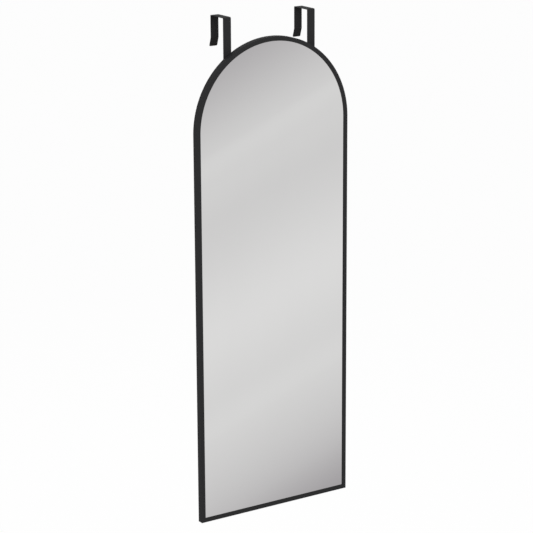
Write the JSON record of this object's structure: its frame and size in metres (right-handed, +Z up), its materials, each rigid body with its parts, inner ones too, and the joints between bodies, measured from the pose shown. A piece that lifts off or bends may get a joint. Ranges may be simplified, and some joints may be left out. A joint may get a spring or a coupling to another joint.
{
  "type": "over-the-door mirror",
  "caption": "Full-length arched mirror in a slim black metal frame, hung over the top of a door by height-adjustable strap hooks.",
  "frame": {"origin": "on the top edge of the door, under the hooks' bridges, midway between the hooks and midway between foam pads and rear legs", "axes": "+X to the right seen from the front, +Y from the mirror's face towards the door, +Z up"},
  "size_m": [0.4, 0.0743, 1.15],
  "materials": {
    "black_powder_coat": "matt black powder coat on aluminium",
    "black_hook_coat": "matt black powder coat on steel strap",
    "mill_aluminium": "bare cast aluminium",
    "zinc_plated_steel": "bright zinc plate",
    "clear_glass": "polished float glass",
    "silvering": "silvered reflecting layer",
    "grey_film": "grey safety film",
    "white_foam": "double-sided foam tape",
    "fibreboard": "plain fibreboard",
    "black_rubber": "moulded rubber",
    "black_foam": "closed-cell foam pad"
  },
  "bodies": {
    "frame": {"frame_arch_rail": "black_powder_coat", "frame_bottom_rail": "black_powder_coat", "corner_key_left": "mill_aluminium", "corner_key_right": "mill_aluminium", "corner_key_screws": "zinc_plated_steel", "mirror_glass": "clear_glass", "silver_coating": "silvering", "safety_film": "grey_film", "foam_tape": "white_foam", "backing_board": "fibreboard", "setting_blocks": "black_rubber", "side_spacers": "black_rubber", "hanger_rail": "zinc_plated_steel", "hanger_rail_screws": "zinc_plated_steel", "hanger_nuts": "zinc_plated_steel", "clamp_plate_left": "zinc_plated_steel", "clamp_plate_right": "zinc_plated_steel", "clamp_screws": "zinc_plated_steel", "rear_bumpers": "black_rubber"},
    "hook_left": {"hook_left": "black_hook_coat", "door_pads_left": "black_foam"},
    "hook_right": {"hook_right": "black_hook_coat", "door_pads_right": "black_foam"}
  },
  "joints": [
    {"name": "hook_left_height", "type": "slide", "parent": "frame", "child": "hook_left", "axis": [0, 0, 1], "range_m": [-0.025, 0.025]},
    {"name": "hook_right_height", "type": "slide", "parent": "frame", "child": "hook_right", "axis": [0, 0, 1], "range_m": [-0.025, 0.025]}
  ]
}
